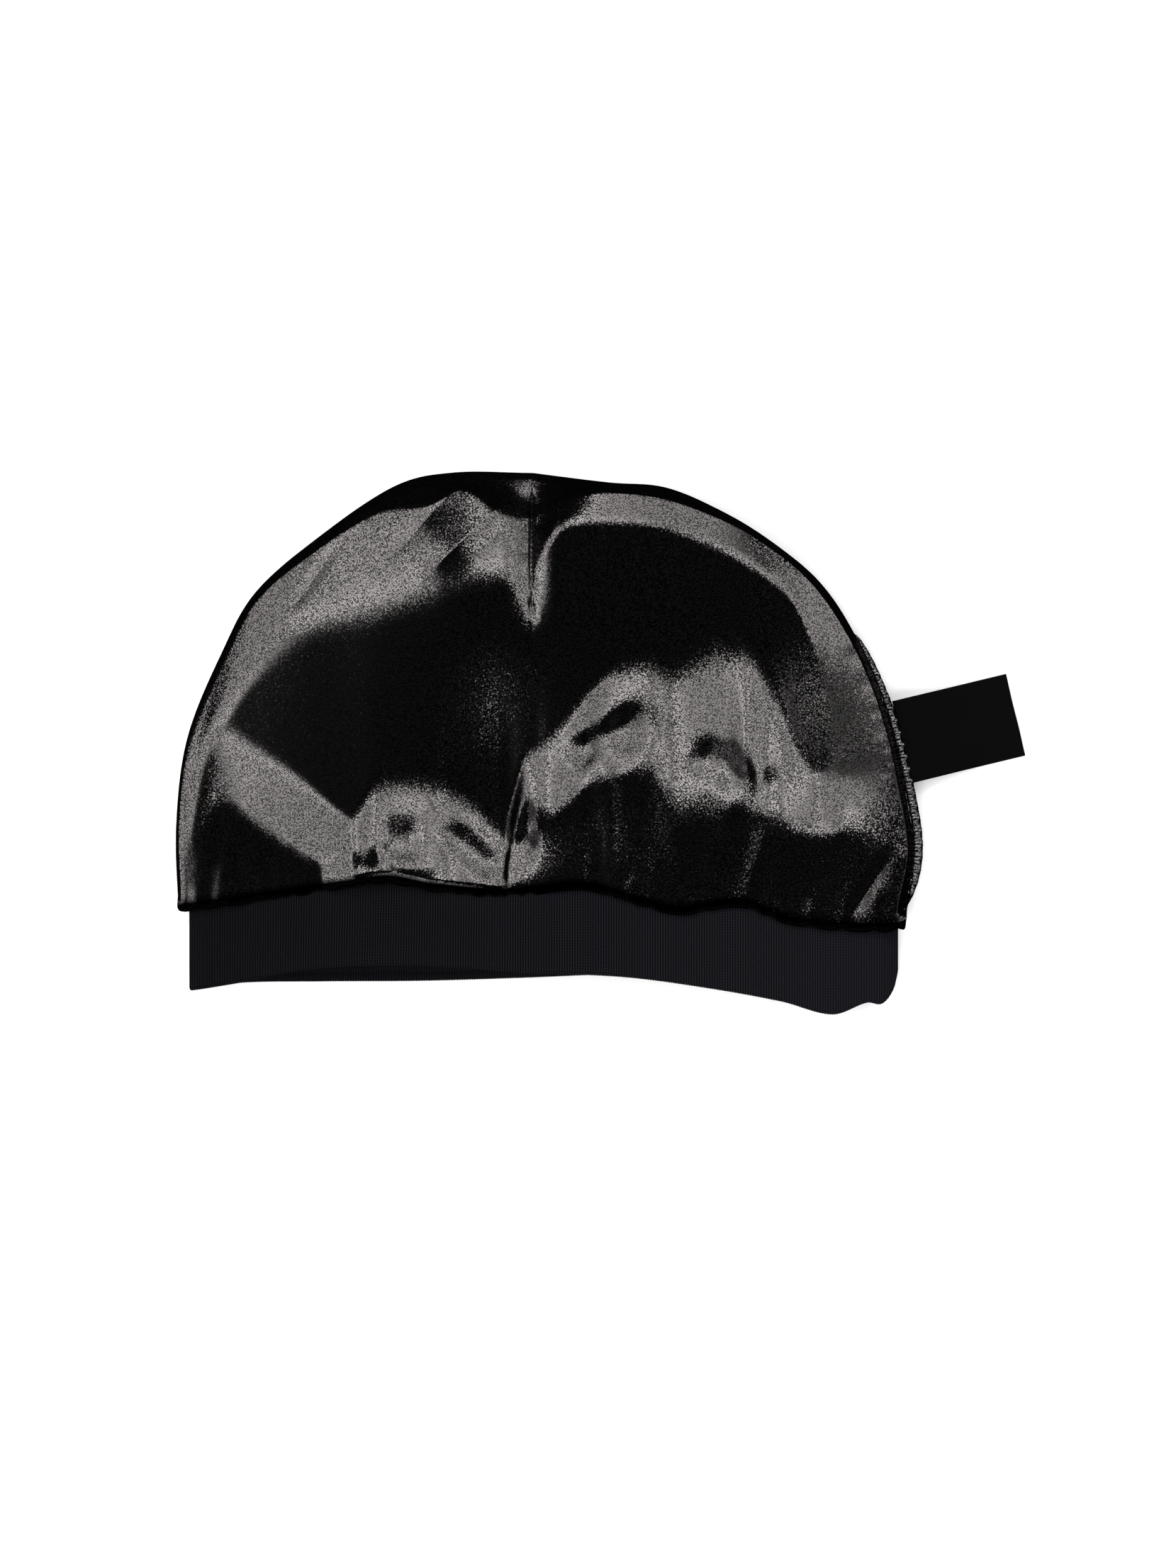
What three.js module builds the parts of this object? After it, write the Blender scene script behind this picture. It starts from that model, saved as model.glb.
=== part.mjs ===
// A satin skullcap turned lining side out and laid flat on a table.
// Millimetres: X runs along the band, Y from the mouth to the top of the crown, Z up from the table.
import * as THREE from "three";
import { ParametricGeometry } from "three/addons/geometries/ParametricGeometry.js";
import { mergeVertices } from "three/addons/utils/BufferGeometryUtils.js";

const { clamp, lerp, smoothstep } = THREE.MathUtils;

// Cloth walls and the clear gap between sewn pieces
const CROWN_WALL = 1.6;
const BAND_WALL = 2.2;
const LABEL_WALL = 1.0;
const SEAM_WALL = 1.8;
const GAP = 0.4;

// Height of the outermost line of each rounded edge, and how far in the rounding reaches
const CROWN_EDGE_Z = 4.5;
const CROWN_ROUND_TOP = 3;
const CROWN_ROUND_BELOW = 5;
const CROWN_RIM_RISE = 1;
const BAND_EDGE_Z = 2.6;
const BAND_ROUND = 7;

// The satin rolls over the top of the band before it runs up the crown
const ROLL_DEPTH = 1.2;
const ROLL_OVERHANG = 2;
const ROLL_LIFT_START = -0.3;
const ROLL_LIFT_END = 0.2;

// Ends of the flattened band and the line of the dart
const BAND_LEFT_X = -137;
const BAND_RIGHT_X = 99.2;
const MIDDLE_X = -22.7;

// Edge of the crown from the band up to the head of the dart
const CROWN_LEFT = [
  { x: -140.4, y: -52 },
  { x: -141.1, y: -27 },
  { x: -137.5, y: 1.3 },
  { x: -126, y: 29.5 },
  { x: -115.6, y: 48.4 },
  { x: -94.5, y: 67.2 },
  { x: -66, y: 86 },
  { x: -49, y: 89.5 },
  { x: MIDDLE_X, y: 89.4 },
];
const CROWN_RIGHT = [
  { x: 99.4, y: -55 },
  { x: 104, y: -34 },
  { x: 101.6, y: -16 },
  { x: 94.5, y: 13 },
  { x: 84.2, y: 37 },
  { x: 73.3, y: 53 },
  { x: 59.2, y: 65 },
  { x: 40.4, y: 76.6 },
  { x: 21.5, y: 84.6 },
  { x: 3, y: 86.2 },
  { x: MIDDLE_X, y: 89.4 },
];

// Lower edge of the satin where it lies over the band
const SATIN_EDGE = [
  { x: -141, y: -55.5 },
  { x: -115, y: -52 },
  { x: -86, y: -47.5 },
  { x: -70, y: -45.5 },
  { x: -56, y: -48 },
  { x: -30, y: -50 },
  { x: -6, y: -47.6 },
  { x: 11, y: -52.4 },
  { x: 26, y: -55.8 },
  { x: 46, y: -53.4 },
  { x: 62, y: -59 },
  { x: 87, y: -61.6 },
  { x: 104, y: -61 },
];

// Sections across the front of the crown: the height above the band, and the foot and the brow of
// the slope behind it
const CROWN_FRONT = [
  { x: -140, seam_z: 7.5, foot_y: -50, foot_z: 8, brow_y: -20, brow_z: 9 },
  { x: -131, seam_z: 8, foot_y: -34, foot_z: 8.2, brow_y: 4, brow_z: 11.6 },
  { x: -125.5, seam_z: 8, foot_y: -25, foot_z: 8.2, brow_y: 9, brow_z: 13.5 },
  { x: -113, seam_z: 8.2, foot_y: -32, foot_z: 8.2, brow_y: 1.3, brow_z: 15.2 },
  { x: -98, seam_z: 8.8, foot_y: -41, foot_z: 8.6, brow_y: -10, brow_z: 16.9 },
  { x: -84, seam_z: 9.6, foot_y: -49, foot_z: 9, brow_y: -23, brow_z: 18.4 },
  { x: -72, seam_z: 10, foot_y: -55, foot_z: 8.6, brow_y: -14, brow_z: 19.6 },
  { x: -57, seam_z: 10, foot_y: -58, foot_z: 8.6, brow_y: -13, brow_z: 20.6 },
  { x: -40, seam_z: 11, foot_y: -55, foot_z: 9.8, brow_y: -28, brow_z: 19.2 },
  { x: -35, seam_z: 12.4, foot_y: -55, foot_z: 12.4, brow_y: -15, brow_z: 18.3 },
  { x: -29, seam_z: 12.6, foot_y: -38, foot_z: 15.6, brow_y: -10, brow_z: 18 },
  { x: -17.3, seam_z: 12.3, foot_y: -27.4, foot_z: 13.4, brow_y: -1, brow_z: 20.1 },
  { x: -4.4, seam_z: 12, foot_y: -14, foot_z: 13.2, brow_y: 16.6, brow_z: 22.6 },
  { x: 2.2, seam_z: 12, foot_y: -4, foot_z: 14, brow_y: 22.5, brow_z: 23.2 },
  { x: 7.4, seam_z: 12, foot_y: -11.5, foot_z: 13.2, brow_y: 26.7, brow_z: 23.5 },
  { x: 24.6, seam_z: 11.5, foot_y: -27, foot_z: 11.6, brow_y: 27.5, brow_z: 23.7 },
  { x: 41, seam_z: 11, foot_y: -25, foot_z: 11.2, brow_y: 34.5, brow_z: 23.6 },
  { x: 54.5, seam_z: 10.6, foot_y: -25.8, foot_z: 10.6, brow_y: 22.2, brow_z: 22.3 },
  { x: 64, seam_z: 10.5, foot_y: -28.5, foot_z: 10.8, brow_y: -1.5, brow_z: 18.8 },
  { x: 71, seam_z: 10.5, foot_y: -29, foot_z: 11, brow_y: -12, brow_z: 17.6 },
  { x: 81, seam_z: 10, foot_y: -46, foot_z: 9.8, brow_y: -8, brow_z: 16 },
  { x: 95, seam_z: 9.8, foot_y: -46, foot_z: 9.8, brow_y: -15, brow_z: 13 },
  { x: 104, seam_z: 9.5, foot_y: -46, foot_z: 9.5, brow_y: -20, brow_z: 11 },
];

// Sections across the back of the crown: the height of its crest, and the steep rim and the gentler
// slope that fall from it to the outer edge, each with its distance from that edge
const CROWN_REAR = [
  { x: -140, crest_z: 9, shoulder_z: 7, shelf: 1.2, slope: 9 },
  { x: -125.5, crest_z: 13.7, shoulder_z: 7.2, shelf: 1.5, slope: 12 },
  { x: -113, crest_z: 15.5, shoulder_z: 8.5, shelf: 2.5, slope: 17 },
  { x: -98, crest_z: 17.5, shoulder_z: 9.5, shelf: 3.5, slope: 25.6 },
  { x: -72, crest_z: 20.9, shoulder_z: 11, shelf: 6, slope: 39 },
  { x: -57, crest_z: 22.6, shoulder_z: 14, shelf: 11, slope: 44 },
  { x: -45, crest_z: 23.7, shoulder_z: 15.5, shelf: 14, slope: 44 },
  { x: -24, crest_z: 24, shoulder_z: 16.3, shelf: 16, slope: 40 },
  { x: -12, crest_z: 23.7, shoulder_z: 18, shelf: 9, slope: 20 },
  { x: 0, crest_z: 23.7, shoulder_z: 19.3, shelf: 4.5, slope: 16 },
  { x: 45, crest_z: 23.5, shoulder_z: 19, shelf: 2.5, slope: 14 },
  { x: 62, crest_z: 23, shoulder_z: 18, shelf: 3.5, slope: 14 },
  { x: 75, crest_z: 21.8, shoulder_z: 17.8, shelf: 4, slope: 20 },
  { x: 85, crest_z: 19.5, shoulder_z: 15.2, shelf: 3.5, slope: 19 },
  { x: 95, crest_z: 15.5, shoulder_z: 11.5, shelf: 3, slope: 14 },
  { x: 104, crest_z: 12, shoulder_z: 8.8, shelf: 2.5, slope: 8 },
];

// The level between brow and crest tilts over this stretch. Folds fade out towards the edge, and
// towards both ends of their lines from these shares of the length
const TILT_START_Y = -10;
const TILT_END_Y = 44;
const FOLD_FADE = 10;
const FOLD_FULL_FROM = 0.3;
const FOLD_FULL_TO = 0.6;

// Share of a slope that is rounded off at its top, and at both of its ends
const TOP_SOFTNESS = 0.3;
const SLOPE_SOFTNESS = 0.25;

// Folds of the satin along lines, each with its reach on either hand of the line, its height and
// whether its top is a sharp crease
const FOLDS = [
  { name: "dart", x0: -22.7, y0: 86, x1: -22.7, y1: 34, left: 9, right: 6, height: -2.4, sharp: true },
  { name: "dart ridge", x0: -27, y0: 83, x1: -60, y1: 51, left: 10, right: 28, height: 2.2, sharp: true },
  { name: "rear crease", x0: -48, y0: 84, x1: -71, y1: 57, left: 10, right: 6, height: -0.7, sharp: true },
  { name: "terrace", x0: -5, y0: -4.5, x1: 15, y1: 11, left: 8, right: 8, height: 1.2, sharp: false },
  { name: "right lobe", x0: 19, y0: -7, x1: 50, y1: -24, left: 11, right: 11, height: 1.3, sharp: false },
  { name: "left dimple", x0: -72, y0: -29.5, x1: -58, y1: -32, left: 8, right: 8, height: 1.6, sharp: false },
  { name: "right dimple", x0: -52, y0: -31, x1: -37, y1: -45, left: 6, right: 6, height: 1.4, sharp: false },
];

// Sections across the band: height at the crown and at the mouth, and the two mouth edges
const BAND_SECTIONS = [
  { x: -137, crown_z: 5.2, mouth_z: 5.2, front_y: -82, back_y: -82 },
  { x: -121.5, crown_z: 6.2, mouth_z: 6.6, front_y: -79.4, back_y: -79.5 },
  { x: -94, crown_z: 8.5, mouth_z: 11.5, front_y: -74.4, back_y: -79 },
  { x: -60, crown_z: 9.5, mouth_z: 15, front_y: -73.2, back_y: -78.8 },
  { x: -26, crown_z: 11, mouth_z: 13.5, front_y: -75.3, back_y: -77.8 },
  { x: 8, crown_z: 10.5, mouth_z: 11, front_y: -77, back_y: -76.6 },
  { x: 36, crown_z: 9.5, mouth_z: 9.6, front_y: -80.8, back_y: -77.5 },
  { x: 60, crown_z: 8.6, mouth_z: 8.6, front_y: -85.2, back_y: -79 },
  { x: 77, crown_z: 8, mouth_z: 8, front_y: -89.5, back_y: -81 },
  { x: 88.5, crown_z: 7.6, mouth_z: 7.6, front_y: -85.6, back_y: -82.5 },
  { x: 93.5, crown_z: 7, mouth_z: 7, front_y: -86, back_y: -83.5 },
  { x: 97.5, crown_z: 6.2, mouth_z: 6.2, front_y: -81.5, back_y: -81 },
  { x: 99.2, crown_z: 5.6, mouth_z: 5.6, front_y: -76, back_y: -76 },
];

// The overlocked seam allowance stands out from the right edge of the crown
const SEAM_LOW = 0.06;
const SEAM_HIGH = 0.43;
const SEAM_WIDTH = 3.6;
const SEAM_PUCKER = 0.7;
const SEAM_PUCKERS = 7;
const STEPS_A_PUCKER = 4;

// The care label leaves that seam at a slant and droops to the table
const LABEL_WIDTH = 28;
const LABEL_LENGTH = 37.3;
const LABEL_LIE = 12;
const LABEL_BASE = { x: 102.35, y: 0.35 };
const LABEL_SLANT = THREE.MathUtils.degToRad(13.5);
const DROOP_START = 0.45;
const DROOP_END = 0.55;
const DROOP_STEPS = 10;

// Mesh density round the cap and along it
const TOP_COLUMNS = 76;
const BOTTOM_COLUMNS = 14;
const ROLL_ROWS = 3;
const CROWN_ROWS = 20;
const BAND_ROWS = 4;
const EDGE_SAMPLES = 120;

// Column of a table at any x, on a smooth curve through its rows
function along(table, name, x) {
  const last = table.length - 1;
  let i = 0;
  while (i < last - 1 && x > table[i + 1].x) {
    i += 1;
  }
  const a = table[i];
  const b = table[i + 1];
  const before = table[Math.max(i - 1, 0)];
  const after = table[Math.min(i + 2, last)];
  const span = b.x - a.x;
  const t = clamp((x - a.x) / span, 0, 1);
  const slopeA = (span * (b[name] - before[name])) / (b.x - before.x);
  const slopeB = (span * (after[name] - a[name])) / (after.x - a.x);
  const bend = t * t * (3 - 2 * t);
  const startPull = t * (1 - t) * (1 - t) * slopeA;
  const endPull = t * t * (t - 1) * slopeB;
  return lerp(a[name], b[name], bend) + startPull + endPull;
}

// One side of the crown's edge; turn is the side on which the cloth lies
function edgeCurve(rows, turn) {
  const points = rows.map((row) => new THREE.Vector3(row.x, row.y, 0));
  return { curve: new THREE.CatmullRomCurve3(points, false, "centripetal"), turn };
}

const leftEdge = edgeCurve(CROWN_LEFT, 1);
const rightEdge = edgeCurve(CROWN_RIGHT, -1);

// Point of an edge at the share v of its length, moved in by a wall
function edgePoint(edge, v, inset) {
  const point = edge.curve.getPointAt(v);
  const tangent = edge.curve.getTangentAt(v);
  point.x += inset * edge.turn * tangent.y;
  point.y -= inset * edge.turn * tangent.x;
  return point;
}

// Distance in plan from the crown's outer edge, for the outer and the inner face of the wall
function edgeDistance(inset) {
  const samples = [];
  for (const edge of [leftEdge, rightEdge]) {
    const points = [];
    for (let i = 0; i <= EDGE_SAMPLES; i += 1) {
      points.push(edgePoint(edge, i / EDGE_SAMPLES, inset));
    }
    samples.push(points);
  }
  const line = new THREE.Line3();
  const nearest = new THREE.Vector3();
  const place = new THREE.Vector3();
  return (x, y) => {
    place.set(x, y, 0);
    let best = Infinity;
    for (const points of samples) {
      for (let i = 0; i < EDGE_SAMPLES; i += 1) {
        line.set(points[i], points[i + 1]).closestPointToPoint(place, true, nearest);
        best = Math.min(best, nearest.distanceTo(place));
      }
    }
    return best;
  };
}

const outerDistance = edgeDistance(0);
const innerDistance = edgeDistance(CROWN_WALL);

// Quarter-round rise from 0 at an edge to 1 at the given distance from it
function quarterRound(distance, width) {
  const t = clamp(distance / width, 0, 1);
  return Math.sqrt(Math.max(0, 1 - (1 - t) * (1 - t)));
}

// Rise from 0 to 1 that starts as a crease and rounds off at its top
function roundedTop(share) {
  const t = clamp(share, 0, 1);
  const over = Math.max(t - 1 + TOP_SOFTNESS, 0);
  return (t - (over * over) / (2 * TOP_SOFTNESS)) / (1 - TOP_SOFTNESS / 2);
}

// Rise from 0 to 1 that is straight but for its two rounded ends
function roundedSlope(share) {
  const rise = (s) => {
    if (s < SLOPE_SOFTNESS) {
      return Math.max(s, 0) ** 2 / (2 * SLOPE_SOFTNESS);
    }
    return s - SLOPE_SOFTNESS / 2;
  };
  const t = clamp(share, 0, 1);
  return (rise(t) - rise(t - 1 + SLOPE_SOFTNESS)) / (1 - SLOPE_SOFTNESS);
}

// Height that one fold adds: full along its line, fading to either hand and at both ends
function foldHeight(fold, x, y) {
  const dx = fold.x1 - fold.x0;
  const dy = fold.y1 - fold.y0;
  const length = Math.hypot(dx, dy);
  const t = ((x - fold.x0) * dx + (y - fold.y0) * dy) / (length * length);
  const off = ((x - fold.x0) * dy - (y - fold.y0) * dx) / length;
  const s = clamp(Math.abs(off) / (off > 0 ? fold.right : fold.left), 0, 1);
  const across = fold.sharp ? (1 - s) ** 2 : 0.5 + 0.5 * Math.cos(Math.PI * s);
  const lengthwise = smoothstep(t, 0, FOLD_FULL_FROM) * (1 - smoothstep(t, FOLD_FULL_TO, 1));
  return fold.height * across * lengthwise;
}

// Height of the upper satin: low flats by the band, a slope, a tilted level, and the fall to the edge
function crownHeight(x, y, distance) {
  const seamY = along(SATIN_EDGE, "y", x) + ROLL_DEPTH;
  const footY = along(CROWN_FRONT, "foot_y", x);
  const browY = along(CROWN_FRONT, "brow_y", x);
  const browZ = along(CROWN_FRONT, "brow_z", x);
  const flat = smoothstep(y, seamY, Math.max(footY, seamY + 1));
  const low = lerp(along(CROWN_FRONT, "seam_z", x), along(CROWN_FRONT, "foot_z", x), flat);
  const front = lerp(low, browZ, roundedSlope((y - footY) / (browY - footY)));
  const tilt = (along(CROWN_REAR, "crest_z", x) - browZ) * smoothstep(y, TILT_START_Y, TILT_END_Y);
  const level = front + tilt;
  const shelf = along(CROWN_REAR, "shelf", x);
  const slope = along(CROWN_REAR, "slope", x);
  const shoulderZ = Math.min(along(CROWN_REAR, "shoulder_z", x), level);
  const steep = lerp(CROWN_EDGE_Z + CROWN_RIM_RISE, shoulderZ, clamp(distance / shelf, 0, 1));
  const rim = lerp(steep, level, roundedTop((distance - shelf) / (slope - shelf)));
  const folds = FOLDS.reduce((sum, fold) => sum + foldHeight(fold, x, y), 0);
  return rim + folds * smoothstep(distance, 0, FOLD_FADE);
}

// A point on a flattened loop of cloth: upper height, edge height and the two rounded edges
function loopHeight(angle, distance, topZ, edgeZ, roundTop, roundBelow, inset) {
  if (Math.cos(angle) >= 0) {
    return lerp(edgeZ, topZ - inset, quarterRound(distance, roundTop - inset));
  }
  return lerp(edgeZ, inset, quarterRound(distance, roundBelow - inset));
}

// The crown between the roll and the head of the dart; v is the share of the way up
function crownPoint(angle, v, inset) {
  const side = Math.sin(angle) < 0 ? leftEdge : rightEdge;
  const edge = edgePoint(side, v, inset);
  const edgeFoot = edgePoint(side, 0, inset);
  const head = edgePoint(leftEdge, 1, inset);
  const out = Math.abs(Math.sin(angle));
  const x = lerp(MIDDLE_X, edge.x, out);
  const middleY = along(SATIN_EDGE, "y", MIDDLE_X) + ROLL_DEPTH;
  const footY = along(SATIN_EDGE, "y", x) + ROLL_DEPTH;
  const rowY = lerp(lerp(middleY, head.y, v), edge.y, out * out);
  const rowFootY = lerp(middleY, edgeFoot.y, out * out);
  const y = rowY + (footY - rowFootY) * (1 - v) ** 3;
  const distance = inset > 0 ? innerDistance(x, y) : outerDistance(x, y);
  const topZ = crownHeight(x, y, distance);
  const z = loopHeight(angle, distance, topZ, CROWN_EDGE_Z, CROWN_ROUND_TOP, CROWN_ROUND_BELOW, inset);
  return new THREE.Vector3(x, y, z);
}

// The flattened band; down is the share of the way from the crown to the mouth
function bandPoint(angle, down, inset) {
  const end = Math.sin(angle) < 0 ? BAND_LEFT_X + inset : BAND_RIGHT_X - inset;
  const out = Math.abs(Math.sin(angle));
  const x = lerp(MIDDLE_X, end, out);
  const distance = Math.abs(end - x);
  const topY = along(SATIN_EDGE, "y", x) - GAP;
  const upper = Math.cos(angle) >= 0;
  const mouthY = along(BAND_SECTIONS, upper ? "front_y" : "back_y", x);
  const crownZ = along(BAND_SECTIONS, "crown_z", x);
  const mouthZ = along(BAND_SECTIONS, "mouth_z", x);
  const topZ = lerp(crownZ, mouthZ, smoothstep(down, 0, 1));
  const z = loopHeight(angle, distance, topZ, BAND_EDGE_Z, BAND_ROUND, BAND_ROUND, inset);
  return new THREE.Vector3(x, lerp(topY, mouthY, down), z);
}

// The roll of satin that rises from the seam and hangs over the top of the band
function rollPoint(angle, share, inset) {
  const seam = bandPoint(angle, 0, inset);
  const foot = crownPoint(angle, 0, inset);
  const rise = Math.sin((Math.PI / 2) * share);
  const x = lerp(seam.x, foot.x, rise);
  const z = lerp(seam.z, foot.z, rise);
  const lift = smoothstep(Math.cos(angle), ROLL_LIFT_START, ROLL_LIFT_END);
  const back = lerp(seam.y + GAP, foot.y, 1 - Math.cos((Math.PI / 2) * share));
  const over = (ROLL_OVERHANG - inset) * Math.sin(Math.PI * share) * lift;
  return new THREE.Vector3(x, back - over, z);
}

// Angle round the flattened loop: over the upper cloth first, then back under it
function loopAngle(u) {
  const column = u * (TOP_COLUMNS + BOTTOM_COLUMNS);
  const over = Math.PI * (Math.min(column, TOP_COLUMNS) / TOP_COLUMNS);
  const under = Math.PI * (Math.max(column - TOP_COLUMNS, 0) / BOTTOM_COLUMNS);
  return over + under - Math.PI / 2;
}

// Closed wall: out along the outer face, back along the inner face, and round to the start
function closedWall(rows, wall, place) {
  const stacks = 2 * rows + 2;
  const face = (u, v, target) => {
    const row = v * stacks;
    const inner = row > rows + 0.5 && row < stacks - 0.5;
    const step = inner ? 2 * rows + 1 - row : row % stacks;
    const angle = loopAngle(u % 1);
    target.copy(place(angle, clamp(step, 0, rows), inner ? wall : 0));
  };
  const geometry = new ParametricGeometry(face, TOP_COLUMNS + BOTTOM_COLUMNS, stacks);
  geometry.deleteAttribute("uv");
  geometry.deleteAttribute("normal");
  return mergeVertices(geometry, 1e-3);
}

function crownWall(angle, row, inset) {
  if (row <= ROLL_ROWS) {
    return rollPoint(angle, row / ROLL_ROWS, inset);
  }
  return crownPoint(angle, (row - ROLL_ROWS) / CROWN_ROWS, inset);
}

function bandWall(angle, row, inset) {
  return bandPoint(angle, 1 - row / BAND_ROWS, inset);
}

// A strip of seam allowance swept along the right edge of the crown, puckered by its stitches
function seamGeometry() {
  const path = [];
  const steps = STEPS_A_PUCKER * SEAM_PUCKERS;
  for (let i = 0; i <= steps; i += 1) {
    const share = i / steps;
    const point = edgePoint(rightEdge, lerp(SEAM_LOW, SEAM_HIGH, share), -GAP - SEAM_WIDTH / 2);
    const wave = Math.sin(2 * Math.PI * SEAM_PUCKERS * share);
    path.push(new THREE.Vector3(point.x, point.y, CROWN_EDGE_Z + SEAM_PUCKER * wave));
  }
  const section = new THREE.Shape();
  section.moveTo(-SEAM_WALL / 2, -SEAM_WIDTH / 2);
  section.lineTo(SEAM_WALL / 2, -SEAM_WIDTH / 2);
  section.lineTo(SEAM_WALL / 2, SEAM_WIDTH / 2);
  section.lineTo(-SEAM_WALL / 2, SEAM_WIDTH / 2);
  section.closePath();
  const extrudePath = new THREE.CatmullRomCurve3(path);
  return new THREE.ExtrudeGeometry(section, { steps, extrudePath, bevelEnabled: false });
}

// A ribbon whose side view is a droop from the seam down to the table
function labelGeometry() {
  const run = LABEL_LENGTH - LABEL_LIE;
  const droop = new THREE.CubicBezierCurve(
    new THREE.Vector2(0, CROWN_EDGE_Z - LABEL_WALL / 2),
    new THREE.Vector2(run * DROOP_START, CROWN_EDGE_Z - LABEL_WALL / 2),
    new THREE.Vector2(run * DROOP_END, 0),
    new THREE.Vector2(run, 0),
  );
  const under = [...droop.getPoints(DROOP_STEPS), new THREE.Vector2(LABEL_LENGTH, 0)];
  const over = under.map((point) => new THREE.Vector2(point.x, point.y + LABEL_WALL)).reverse();
  const side = new THREE.Shape([...under, ...over]);
  const ribbon = new THREE.ExtrudeGeometry(side, { depth: LABEL_WIDTH, bevelEnabled: false });
  ribbon.translate(0, 0, -LABEL_WIDTH / 2);
  ribbon.rotateX(Math.PI / 2);
  ribbon.rotateZ(LABEL_SLANT);
  ribbon.translate(LABEL_BASE.x, LABEL_BASE.y, 0);
  return ribbon;
}

const satin = new THREE.MeshStandardMaterial({ color: 0x0a0a0d, roughness: 0.35 });
const knit = new THREE.MeshStandardMaterial({ color: 0x15151c, roughness: 0.95 });
const thread = new THREE.MeshStandardMaterial({ color: 0x0e0e12, roughness: 0.8 });
const ribbonCloth = new THREE.MeshStandardMaterial({ color: 0x0b0b0e, roughness: 0.55 });

function namedMesh(name, geometry, material) {
  const mesh = new THREE.Mesh(geometry, material);
  mesh.name = name;
  return mesh;
}

const cap = new THREE.Group();
cap.name = "skullcap";
cap.add(namedMesh("crown", closedWall(ROLL_ROWS + CROWN_ROWS, CROWN_WALL, crownWall), satin));
cap.add(namedMesh("band", closedWall(BAND_ROWS, BAND_WALL, bandWall), knit));
cap.add(namedMesh("side_seam", seamGeometry(), thread));
cap.add(namedMesh("care_label", labelGeometry(), ribbonCloth));

// The origin is the middle of the underside
const bounds = new THREE.Box3().setFromObject(cap);
const centre = bounds.getCenter(new THREE.Vector3());
cap.position.set(-centre.x, -centre.y, -bounds.min.z);

export default cap;
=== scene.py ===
# %% [markdown]
# # A satin skullcap, turned lining side out
# The cap lies flat on a table and is seen from straight above. Its satin crown is gathered on to a
# knit band, a dart shapes the top, and one overlocked seam with a ribbon label runs down the side.
# Every piece here is worked out from the same sizes as the solid model that it is dressed over.

# %% Tools and the frame
import math

import bmesh
import bpy
import numpy as np
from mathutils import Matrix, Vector


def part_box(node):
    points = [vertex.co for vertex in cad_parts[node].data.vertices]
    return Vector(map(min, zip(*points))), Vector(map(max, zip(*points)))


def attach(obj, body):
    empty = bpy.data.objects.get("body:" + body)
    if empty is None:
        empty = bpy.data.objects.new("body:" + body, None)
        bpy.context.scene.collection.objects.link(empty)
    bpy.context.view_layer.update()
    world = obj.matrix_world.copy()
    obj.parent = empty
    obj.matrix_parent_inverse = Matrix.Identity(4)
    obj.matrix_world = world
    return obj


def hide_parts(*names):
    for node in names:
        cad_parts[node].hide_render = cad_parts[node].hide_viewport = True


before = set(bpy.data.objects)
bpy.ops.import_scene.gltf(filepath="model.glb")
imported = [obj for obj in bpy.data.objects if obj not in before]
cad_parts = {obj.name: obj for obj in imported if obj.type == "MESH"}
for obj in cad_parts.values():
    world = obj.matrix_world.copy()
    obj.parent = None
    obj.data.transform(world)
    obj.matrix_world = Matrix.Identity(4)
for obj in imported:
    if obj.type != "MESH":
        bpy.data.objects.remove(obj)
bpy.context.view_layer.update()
MM = 0.001
print("solids in the frame:", sorted(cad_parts))

# %% [markdown]
# ## Camera
# The photo looks straight down. The scale is read once, as pixels to a millimetre, and the lens
# follows from it and from a comfortable distance, so the cap fills the frame as it does there.

# %% Camera
PHOTO_WIDTH, PHOTO_HEIGHT = 1659, 2212
PIXELS_PER_MM = 4.25
CAP_CENTRE_PIXEL = (848.5, 1045.5)
CAMERA_HEIGHT = 0.9
EDGE_HEIGHT = 0.006

frame_height = PHOTO_HEIGHT / PIXELS_PER_MM * MM
look_x = (PHOTO_WIDTH / 2 - CAP_CENTRE_PIXEL[0]) / PIXELS_PER_MM * MM
look_y = (CAP_CENTRE_PIXEL[1] - PHOTO_HEIGHT / 2) / PIXELS_PER_MM * MM
camera_data = bpy.data.cameras.new("camera_above")
camera_data.lens = camera_data.sensor_width * CAMERA_HEIGHT / frame_height
camera = bpy.data.objects.new("camera_above", camera_data)
camera.location = (look_x, look_y, CAMERA_HEIGHT + EDGE_HEIGHT)
bpy.context.scene.collection.objects.link(camera)
bpy.context.scene.camera = camera
print("lens, mm:", round(camera_data.lens, 1))

# %% [markdown]
# ## The outline in tables
# A cap lying flat has no simple outline, but a few measured lines describe it: the edge of the
# crown on either side of the dart, and the edge of the satin over the band. The tables are in
# millimetres, each column has a name, and smooth curves run through the rows.

# %% Tables of the outline


def table(columns, *rows):
    return dict(zip(columns.split(), np.array(rows, float).T))


MIDDLE_X = -22.7
CROWN_LEFT = table(
    "x y",
    (-140.4, -52), (-141.1, -27), (-137.5, 1.3), (-126, 29.5), (-115.6, 48.4),
    (-94.5, 67.2), (-66, 86), (-49, 89.5), (MIDDLE_X, 89.4),
)
CROWN_RIGHT = table(
    "x y",
    (101, -55.5), (104.3, -36), (101.6, -16), (94.5, 13), (84.2, 37), (73.3, 53), (59.2, 65),
    (40.4, 76.6), (21.5, 84.6), (3, 86.2), (MIDDLE_X, 89.4),
)
SATIN_EDGE = table(
    "x y",
    (-141, -55.5), (-115, -52), (-86, -47.5), (-70, -45.5), (-56, -48), (-30, -50), (-6, -47.6),
    (11, -52.4), (26, -55.8), (46, -53.4), (62, -59), (87, -61.6), (104, -61),
)
print("points on the outline:", [len(rows["x"]) for rows in (CROWN_LEFT, CROWN_RIGHT, SATIN_EDGE)])

# %% Smooth curves through a table


def mix(a, b, t):
    return a + (b - a) * t


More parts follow.
